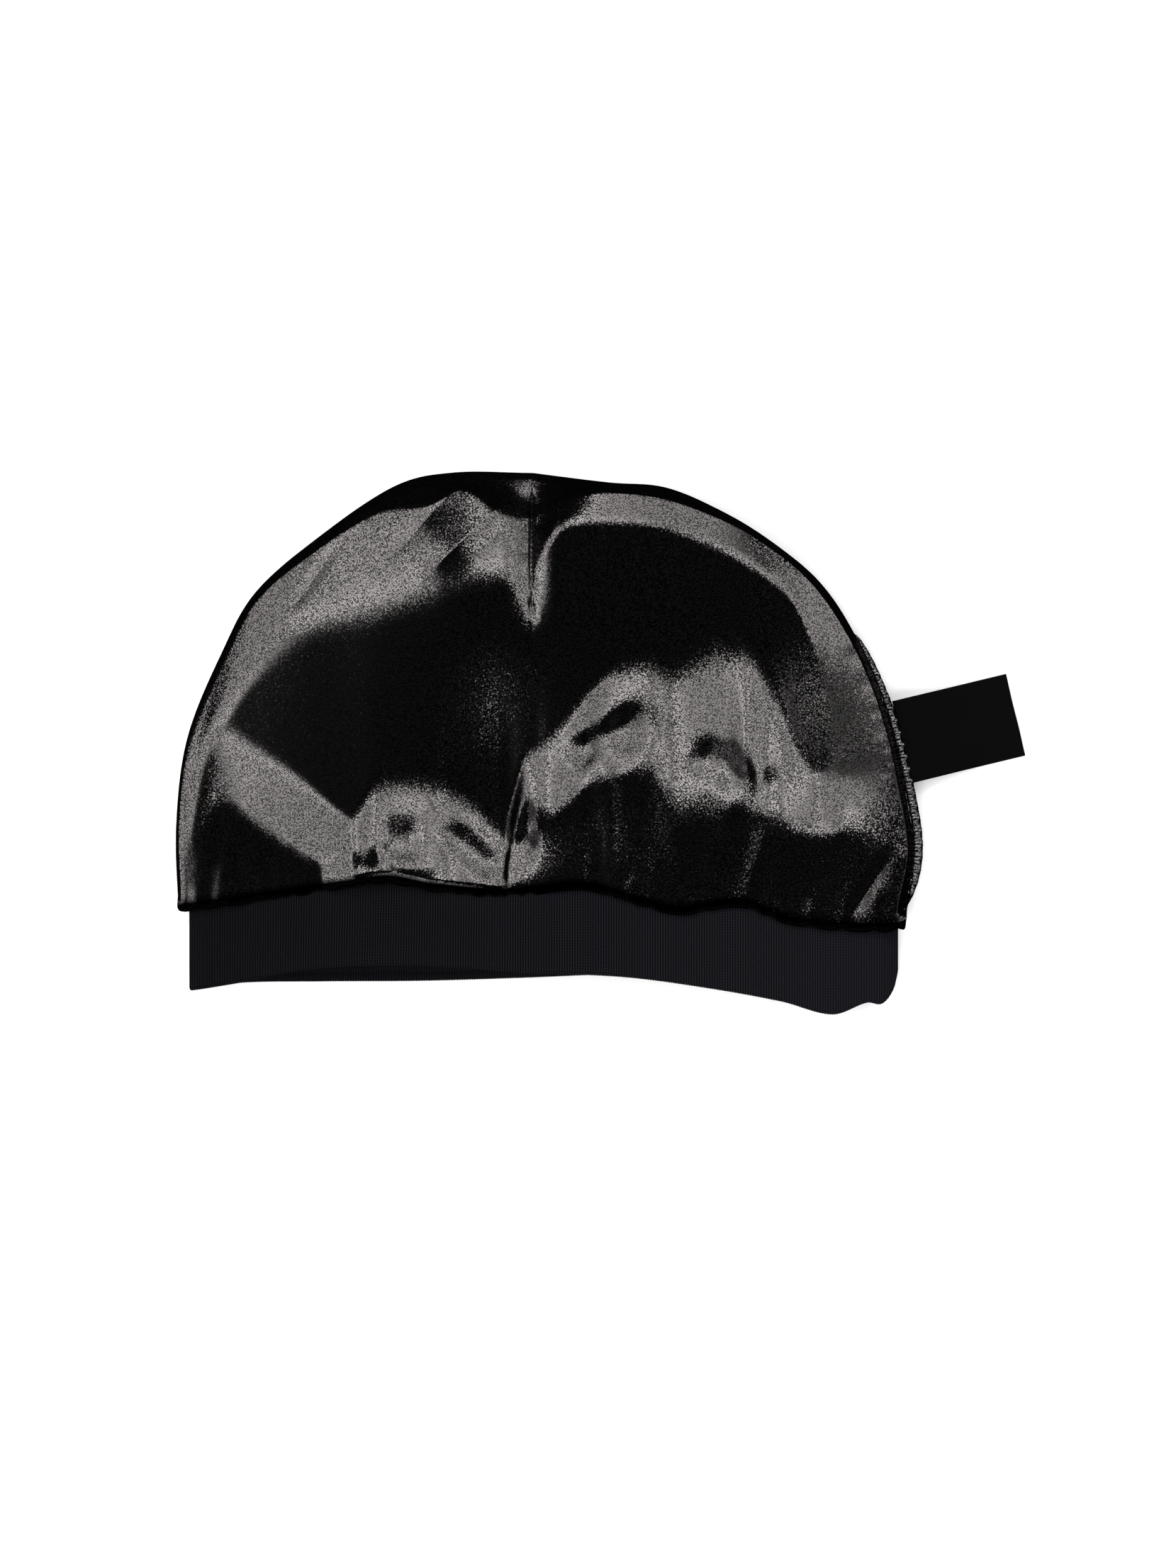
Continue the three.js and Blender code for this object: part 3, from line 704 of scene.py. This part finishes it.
def coil_place(column, row):
    before, after = coil(row - 0.5), coil(row + 0.5)
    forward = after - before
    forward /= np.linalg.norm(forward, axis=1)[:, None]
    chord_start, chord_end = seam_centre(np.array(SEAM_CHORD))[0]
    chord = chord_end - chord_start
    side = np.cross(forward, chord / np.linalg.norm(chord))
    side /= np.linalg.norm(side, axis=1)[:, None]
    rise = np.cross(side, forward)
    angle = (2 * np.pi * column / THREAD_SIDES)[:, None]
    full = (row > 0) & (row < STITCHES * STEPS_A_STITCH)
    radius = (THREAD / 2 * full)[:, None]
    return (before + after) / 2 + radius * (np.cos(angle) * side + np.sin(angle) * rise)


thread = sewn_grid("overlock_thread", THREAD_SIDES, STITCHES * STEPS_A_STITCH, coil_place)

# %% [markdown]
# ## Care label
# A short woven ribbon is caught in the side seam. It leaves the seam at a slant, droops to the
# table and lies there with a slight curl. It is left bare. A bend modifier would give it one even
# curve, so a formula moves a flat grid instead: it sets the droop, the curl and two woven edges that
# stand a little higher than the middle. The grid is then given its thickness.

# %% Care label
LABEL_WIDTH = 28.0
LABEL_LENGTH = 37.3
LABEL_LIE = 12.0
LABEL_TUCK = 2.2
LABEL_BASE = (102.35, 0.35)
LABEL_SLANT = math.radians(13.5)
LABEL_THICKNESS = 0.6
LABEL_COLUMNS = 40
LABEL_ROWS = 28
LABEL_CURL = 0.7
LABEL_CURL_START = 10.0
LABEL_WAVES = 1.5
SELVEDGE_RISE = 0.12
SELVEDGE_START, SELVEDGE_FULL = 1.4, 0.8


def label_place(column, row):
    run = mix(-LABEL_TUCK, LABEL_LENGTH, column / LABEL_COLUMNS)
    off = LABEL_WIDTH * (row / LABEL_ROWS - 0.5)
    droop = 1 - ease(run, 0, LABEL_LENGTH - LABEL_LIE)
    ripple = 0.5 - 0.5 * np.cos(2 * np.pi * LABEL_WAVES * row / LABEL_ROWS)
    curl = LABEL_CURL * ease(run, LABEL_CURL_START, LABEL_LENGTH) * ripple
    half = LABEL_WIDTH / 2
    edge = SELVEDGE_RISE * ease(np.abs(off), half - SELVEDGE_START, half - SELVEDGE_FULL)
    x = LABEL_BASE[0] + run * math.cos(LABEL_SLANT) - off * math.sin(LABEL_SLANT)
    y = LABEL_BASE[1] + run * math.sin(LABEL_SLANT) + off * math.cos(LABEL_SLANT)
    return np.column_stack([x, y, CROWN_EDGE_Z * droop + curl + edge + LABEL_THICKNESS])


label = sewn_grid("care_label_ribbon", LABEL_COLUMNS, LABEL_ROWS, label_place)
bm = bmesh.new()
bm.from_mesh(label.data)
bmesh.ops.solidify(bm, geom=bm.faces[:], thickness=LABEL_THICKNESS * MM)
bm.to_mesh(label.data)
bm.free()
print("faces of the label with its thickness:", len(label.data.polygons))

# %% [markdown]
# ## Dart stitches
# The dart is closed by a row of small stitches, which lie in the crease from the top of the crown
# down to its point. They could be painted on the satin, but thread stands up from cloth and breaks
# its shine, so each is a short rounded bead, set on the satin where it passes.

# %% Dart stitches
DART_TOP_Y, DART_POINT_Y = 87.0, 45.0
DART_STITCHES = 26
STITCH_LENGTH, STITCH_WIDTH = 1.25, 0.5
STITCH_WANDER = 0.08
BEAD_SIDES, BEAD_RINGS = 10, 6

bm = bmesh.new()
stitch_y = np.linspace(DART_TOP_Y, DART_POINT_Y, DART_STITCHES)
stitch_x = MIDDLE_X + rng.normal(0, STITCH_WANDER, DART_STITCHES)
stitch_off = edge_distance(stitch_x, stitch_y, 0.0)
satin_z = crown_height(stitch_x, stitch_y, stitch_off)
stitch_z = loop_height(True, stitch_off, satin_z, CROWN_EDGE_Z, CROWN_ROUND_TOP, CROWN_ROUND_BELOW, 0.0)
fall = np.gradient(stitch_z, stitch_y)
centres = (np.column_stack([stitch_x, stitch_y, stitch_z]) + SHIFT) * MM
for centre, dip in zip(centres, fall):
    bead = bmesh.ops.create_uvsphere(bm, u_segments=BEAD_SIDES, v_segments=BEAD_RINGS, radius=0.5)["verts"]
    bmesh.ops.scale(bm, verts=bead, vec=Vector((STITCH_WIDTH, STITCH_LENGTH, STITCH_WIDTH)) * MM)
    tilt = Vector((0, 1, dip)).to_track_quat("Y", "Z").to_matrix()
    bmesh.ops.rotate(bm, verts=bead, cent=(0, 0, 0), matrix=tilt)
    bmesh.ops.translate(bm, verts=bead, vec=centre)
stitches = finished("dart_stitches", bm)

# %% [markdown]
# ## Cloth patterns as node groups
# Three of the cloths have a pattern that shows, at its real scale: the sparkling grain and twill of
# the satin, the loops of the knit and the weave of the ribbon. They could be painted images, but
# waves and noise stay sharp at any distance. Each is a group that gives out plain values or a
# normal, so a material only has to join it to its shader.

# %% Helpers for nodes


def add(tree, kind, operation=None, **inputs):
    # An input is named by its label, with _ for a space, or as i0, i1, i2 by its number
    node = tree.nodes.new("ShaderNode" + kind)
    if operation:
        node.operation = operation
    for name, value in inputs.items():
        socket = node.inputs[int(name[1:]) if name[1:].isdigit() else name.replace("_", " ")]
        if isinstance(value, bpy.types.NodeSocket):
            tree.links.new(value, socket)
        else:
            socket.default_value = value
    return node


def new_group(name, inputs, outputs):
    tree = bpy.data.node_groups.new(name, "ShaderNodeTree")
    for socket_name, default in inputs.items():
        socket = tree.interface.new_socket(socket_name, in_out="INPUT", socket_type="NodeSocketFloat")
        socket.default_value = default
    for socket_name, kind in outputs.items():
        tree.interface.new_socket(socket_name, in_out="OUTPUT", socket_type="NodeSocket" + kind)
    given = tree.nodes.new("NodeGroupInput").outputs
    result = tree.nodes.new("NodeGroupOutput").inputs
    return tree, given, result


def wave(tree, position, direction, rate):
    # A sine wave along a direction, from 0 to 1, with its rate in radians
    phase = add(tree, "VectorMath", "DOT_PRODUCT", i0=position, i1=direction).outputs["Value"]
    angle = add(tree, "Math", "MULTIPLY", i0=phase, i1=rate).outputs[0]
    swing = add(tree, "Math", "SINE", i0=angle).outputs[0]
    return add(tree, "Math", "MULTIPLY_ADD", i0=swing, i1=0.5, i2=0.5).outputs[0]


# %% Satin grain
FLECK_LOW, FLECK_HIGH = 0.43, 0.57
FLECK_SHARE, TWILL_SHARE = 0.8, 0.2
TWILL_WAY = (0.7, 0.7, 0)


def satin_grain():
    tree, given, result = new_group(
        "satin_grain",
        {"Grain": 2000.0, "Tilt": 0.45, "Twill": 9000.0},
        {"Normal": "Vector", "Fleck": "Float"},
    )
    place = add(tree, "TexCoord").outputs["Object"]
    normal = add(tree, "NewGeometry").outputs["Normal"]
    noise = add(tree, "TexNoise", Vector=place, Scale=given["Grain"], Detail=2.0)
    lean = add(tree, "VectorMath", "SUBTRACT", i0=noise.outputs["Color"], i1=(0.5, 0.5, 0.5))
    lean = add(tree, "VectorMath", "SCALE", i0=lean.outputs[0], Scale=given["Tilt"])
    lean = add(tree, "VectorMath", "ADD", i0=normal, i1=lean.outputs[0])
    lean = add(tree, "VectorMath", "NORMALIZE", i0=lean.outputs[0])
    fleck = add(tree, "MapRange", Value=noise.outputs["Fac"], From_Min=FLECK_LOW, From_Max=FLECK_HIGH)
    twill = wave(tree, place, TWILL_WAY, given["Twill"])
    fleck = add(tree, "Math", "MULTIPLY", i0=fleck.outputs[0], i1=FLECK_SHARE)
    fleck = add(tree, "Math", "MULTIPLY_ADD", i0=twill, i1=TWILL_SHARE, i2=fleck.outputs[0])
    tree.links.new(lean.outputs[0], result["Normal"])
    tree.links.new(fleck.outputs[0], result["Fleck"])
    return tree


satin_grain_group = satin_grain()
print(satin_grain_group.name, "has", len(satin_grain_group.nodes), "nodes")

# %% Knit loops
COURSE_SHARE = 0.35


def knit_loops():
    tree, given, result = new_group("knit_loops", {"Courses": 330.0, "Ribs": 3468.0}, {"Loop": "Float"})
    cloth_map = add(tree, "UVMap").outputs["UV"]
    course = wave(tree, cloth_map, (0, 1, 0), given["Courses"])
    rib = wave(tree, cloth_map, (1, 0, 0), given["Ribs"])
    loop = add(tree, "Math", "MULTIPLY_ADD", i0=course, i1=COURSE_SHARE, i2=rib)
    tree.links.new(loop.outputs[0], result["Loop"])
    return tree


knit_loops_group = knit_loops()
print(knit_loops_group.name, "has", len(knit_loops_group.nodes), "nodes")

# %% Ribbon weave


def ribbon_weave():
    tree, given, result = new_group("ribbon_weave", {"Warp": 380.0, "Weft": 480.0}, {"Weave": "Float"})
    cloth_map = add(tree, "UVMap").outputs["UV"]
    warp = wave(tree, cloth_map, (0, 1, 0), given["Warp"])
    weft = wave(tree, cloth_map, (1, 0, 0), given["Weft"])
    weave = add(tree, "Math", "MULTIPLY", i0=warp, i1=weft)
    tree.links.new(weave.outputs[0], result["Weave"])
    return tree


ribbon_weave_group = ribbon_weave()
print(ribbon_weave_group.name, "has", len(ribbon_weave_group.nodes), "nodes")

# %% [markdown]
# ## Materials
# All four cloths are nearly black. The satin is the only shiny one. Its long floats of thread work
# like a dim mirror, so it is almost wholly metallic, with a very dark base colour that sets how
# much it mirrors, and flecks in that colour make it glitter. Its specular tint keeps it from
# turning silver where it is seen at a low angle. On the roll over the band the colour goes to black.
# That is painted shade, which stands in for the shadow line under the satin's edge. It also
# blackens the low end of the seam strip, which is satin too. The knit and the threads are dull, with
# a blue cast, and the ribbon is a little smoother than they are.

# %% Helpers for finishes


def new_finish(name, roughness, specular):
    material = bpy.data.materials.new(name)
    material.use_nodes = True
    shader = material.node_tree.nodes["Principled BSDF"]
    shader.inputs["Roughness"].default_value = roughness
    shader.inputs["Specular IOR Level"].default_value = specular
    return material, material.node_tree, shader


def use_group(tree, group):
    node = add(tree, "Group")
    node.node_tree = group
    return node.outputs


def blend(tree, factor, first, second):
    # A Mix node's two colours are its inputs 6 and 7, and its blended colour is output 2
    node = add(tree, "Mix", i0=factor)
    node.data_type = "RGBA"
    node.inputs[6].default_value = (*first, 1)
    node.inputs[7].default_value = (*second, 1)
    return node.outputs[2]


# %% Black satin
SATIN_MIRROR = 0.985
SATIN_GLANCE = (0.4, 0.4, 0.4, 1)
SATIN_DARK, SATIN_LIGHT = (0.0055, 0.0052, 0.0051), (0.078, 0.0736, 0.0727)
PAINTED_ROLL_SHADE_END = 1.2

satin, tree, shader = new_finish("black_satin", roughness=0.14, specular=0.5)
shader.inputs["Metallic"].default_value = SATIN_MIRROR
shader.inputs["Specular Tint"].default_value = SATIN_GLANCE
grain = use_group(tree, satin_grain_group)
tree.links.new(grain["Normal"], shader.inputs["Normal"])
sparkle_and_painted_shade = blend(tree, grain["Fleck"], SATIN_DARK, SATIN_LIGHT)
# Painted shade: the satin's colour fades to black on the roll over the band, standing in for the shadow
# line under its edge, and on the low end of the seam strip
up_cloth = add(tree, "SeparateXYZ", Vector=add(tree, "UVMap").outputs["UV"]).outputs["Y"]
roll_share = ROLL_ROWS / crown_rows
painted_roll_shade = add(tree, "MapRange", Value=up_cloth, From_Min=roll_share, From_Max=PAINTED_ROLL_SHADE_END * roll_share)
sparkle_and_painted_shade = add(tree, "VectorMath", "SCALE", i0=sparkle_and_painted_shade, Scale=painted_roll_shade.outputs[0]).outputs[0]
tree.links.new(sparkle_and_painted_shade, shader.inputs["Base Color"])
print(satin.name, "has", len(tree.nodes), "nodes")

# %% Black rib knit
KNIT_LIGHT, KNIT_DARK = (0.0058, 0.0053, 0.0073), (0.0004, 0.0004, 0.0007)

knit, tree, shader = new_finish("black_rib_knit", roughness=0.9, specular=0.04)
loop = use_group(tree, knit_loops_group)["Loop"]
tree.links.new(blend(tree, loop, KNIT_LIGHT, KNIT_DARK), shader.inputs["Base Color"])
bump = add(tree, "Bump", Strength=0.5, Distance=0.0002, Height=loop)
tree.links.new(bump.outputs[0], shader.inputs["Normal"])
print(knit.name, "has", len(tree.nodes), "nodes")

# %% Black thread
YARN_DARK, YARN_LIGHT = (0.0012, 0.0012, 0.0012), (0.0042, 0.0042, 0.0050)

yarn, tree, shader = new_finish("black_thread", roughness=0.8, specular=0.04)
twist = add(tree, "TexNoise", Vector=add(tree, "TexCoord").outputs["Object"], Scale=3000.0)
tree.links.new(blend(tree, twist.outputs["Fac"], YARN_DARK, YARN_LIGHT), shader.inputs["Base Color"])
print(yarn.name, "has", len(tree.nodes), "nodes")

# %% Black ribbon
RIBBON_DARK, RIBBON_LIGHT = (0.0006, 0.0006, 0.0006), (0.0016, 0.0016, 0.0019)

ribbon, tree, shader = new_finish("black_ribbon", roughness=0.6, specular=0.015)
weave = use_group(tree, ribbon_weave_group)["Weave"]
tree.links.new(blend(tree, weave, RIBBON_DARK, RIBBON_LIGHT), shader.inputs["Base Color"])
bump = add(tree, "Bump", Strength=0.4, Distance=0.0001, Height=weave)
tree.links.new(bump.outputs[0], shader.inputs["Normal"])
print(ribbon.name, "has", len(tree.nodes), "nodes")

# %% Each piece in its cloth
for piece, material in (
    (crown, satin), (band, knit), (seam, satin),
    (thread, yarn), (label, ribbon), (stitches, yarn),
):
    piece.data.materials.append(material)
print("cloths:", [material.name for material in (satin, knit, yarn, ribbon)])

# %% [markdown]
# ## Floor, lamps and room
# The photo has a plain white ground and soft light from all round, with nothing overhead but the
# camera. A ring of soft boxes round a pale disc does that. Each box has a width in metres, a
# strength, and a range of heights above the table, in degrees, which sets the slopes of the satin
# that it lights: a slope of 20 degrees mirrors a lamp at 50. The disc stays out of the reflections,
# so that the steep edges of the satin are dark.

# %% Floor
FLOOR_RADIUS = 0.75
FLOOR_SIDES = 96
PAPER_GREY = (0.65, 0.65, 0.65, 1)

bm = bmesh.new()
bmesh.ops.create_circle(bm, cap_ends=True, segments=FLOOR_SIDES, radius=FLOOR_RADIUS)
floor = finished("floor", bm)
paper, tree, shader = new_finish("white_paper", roughness=0.9, specular=0.0)
shader.inputs["Base Color"].default_value = PAPER_GREY
floor.data.materials.append(paper)
floor.visible_glossy = False

# %% Lamps
LAMP_DISTANCE = 0.9
LAMP_RADIANCE = 3.8
LAMPS = table(
    "azimuth width low high strength",
    (0, 0.6, 26, 59, 0.16),
    (31, 0.6, 12, 60, 1),
    (78, 0.6, 24, 60, 1),
    (112, 0.6, 33, 62, 1),
    (152, 0.6, 8, 58, 1),
    (188, 0.6, 4, 54, 1),
    (228, 0.6, 6, 58, 1),
    (268, 0.6, 22, 67, 1),
    (306, 0.5, 24, 66, 1),
)

for azimuth, width, lowest, highest, strength in zip(*LAMPS.values()):
    lamp_data = bpy.data.lights.new("soft_box", "AREA")
    lamp_data.shape = "RECTANGLE"
    lamp_data.size = width
    lamp_data.size_y = 2 * LAMP_DISTANCE * math.tan(math.radians(highest - lowest) / 2)
    lamp_data.energy = strength * LAMP_RADIANCE * math.pi * lamp_data.size * lamp_data.size_y
    lamp = bpy.data.objects.new("soft_box", lamp_data)
    turn, rise = math.radians(azimuth), math.radians((lowest + highest) / 2)
    way = Vector((math.cos(turn) * math.cos(rise), math.sin(turn) * math.cos(rise), math.sin(rise)))
    lamp.location = way * LAMP_DISTANCE
    lamp.rotation_mode = "QUATERNION"
    lamp.rotation_quaternion = way.to_track_quat("Z", "Y")
    lamp.visible_camera = False
    bpy.context.scene.collection.objects.link(lamp)
print("lamps:", len(LAMPS["azimuth"]))

# %% Room
ROOM_DARK, BACKDROP_PALE = (0.005, 0.005, 0.005), (0.8, 0.8, 0.8)

room = bpy.data.worlds.new("studio")
room.use_nodes = True
seen = add(room.node_tree, "LightPath").outputs["Is Camera Ray"]
backdrop = blend(room.node_tree, seen, ROOM_DARK, BACKDROP_PALE)
room.node_tree.links.new(backdrop, room.node_tree.nodes["Background"].inputs["Color"])
bpy.context.scene.world = room
bpy.context.scene.view_settings.view_transform = "Standard"
print("the camera sees a backdrop of", BACKDROP_PALE, "and the satin mirrors", ROOM_DARK)

# %% [markdown]
# ## Riding on the body
# The cap has no joints, so every piece rides on the one body. Each cloth piece takes the place of
# its solid, which is hidden.

# %% Bodies, and the solids that the pieces replace
for piece, slot in (
    (crown, "satin"), (band, "rib_knit"), (seam, "overlock_thread"), (thread, "overlock_thread"),
    (stitches, "overlock_thread"), (label, "label_ribbon"),
):
    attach(piece, "root")
for piece, node in ((crown, "crown"), (band, "band"), (seam, "side_seam"), (label, "care_label")):
    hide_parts(node)
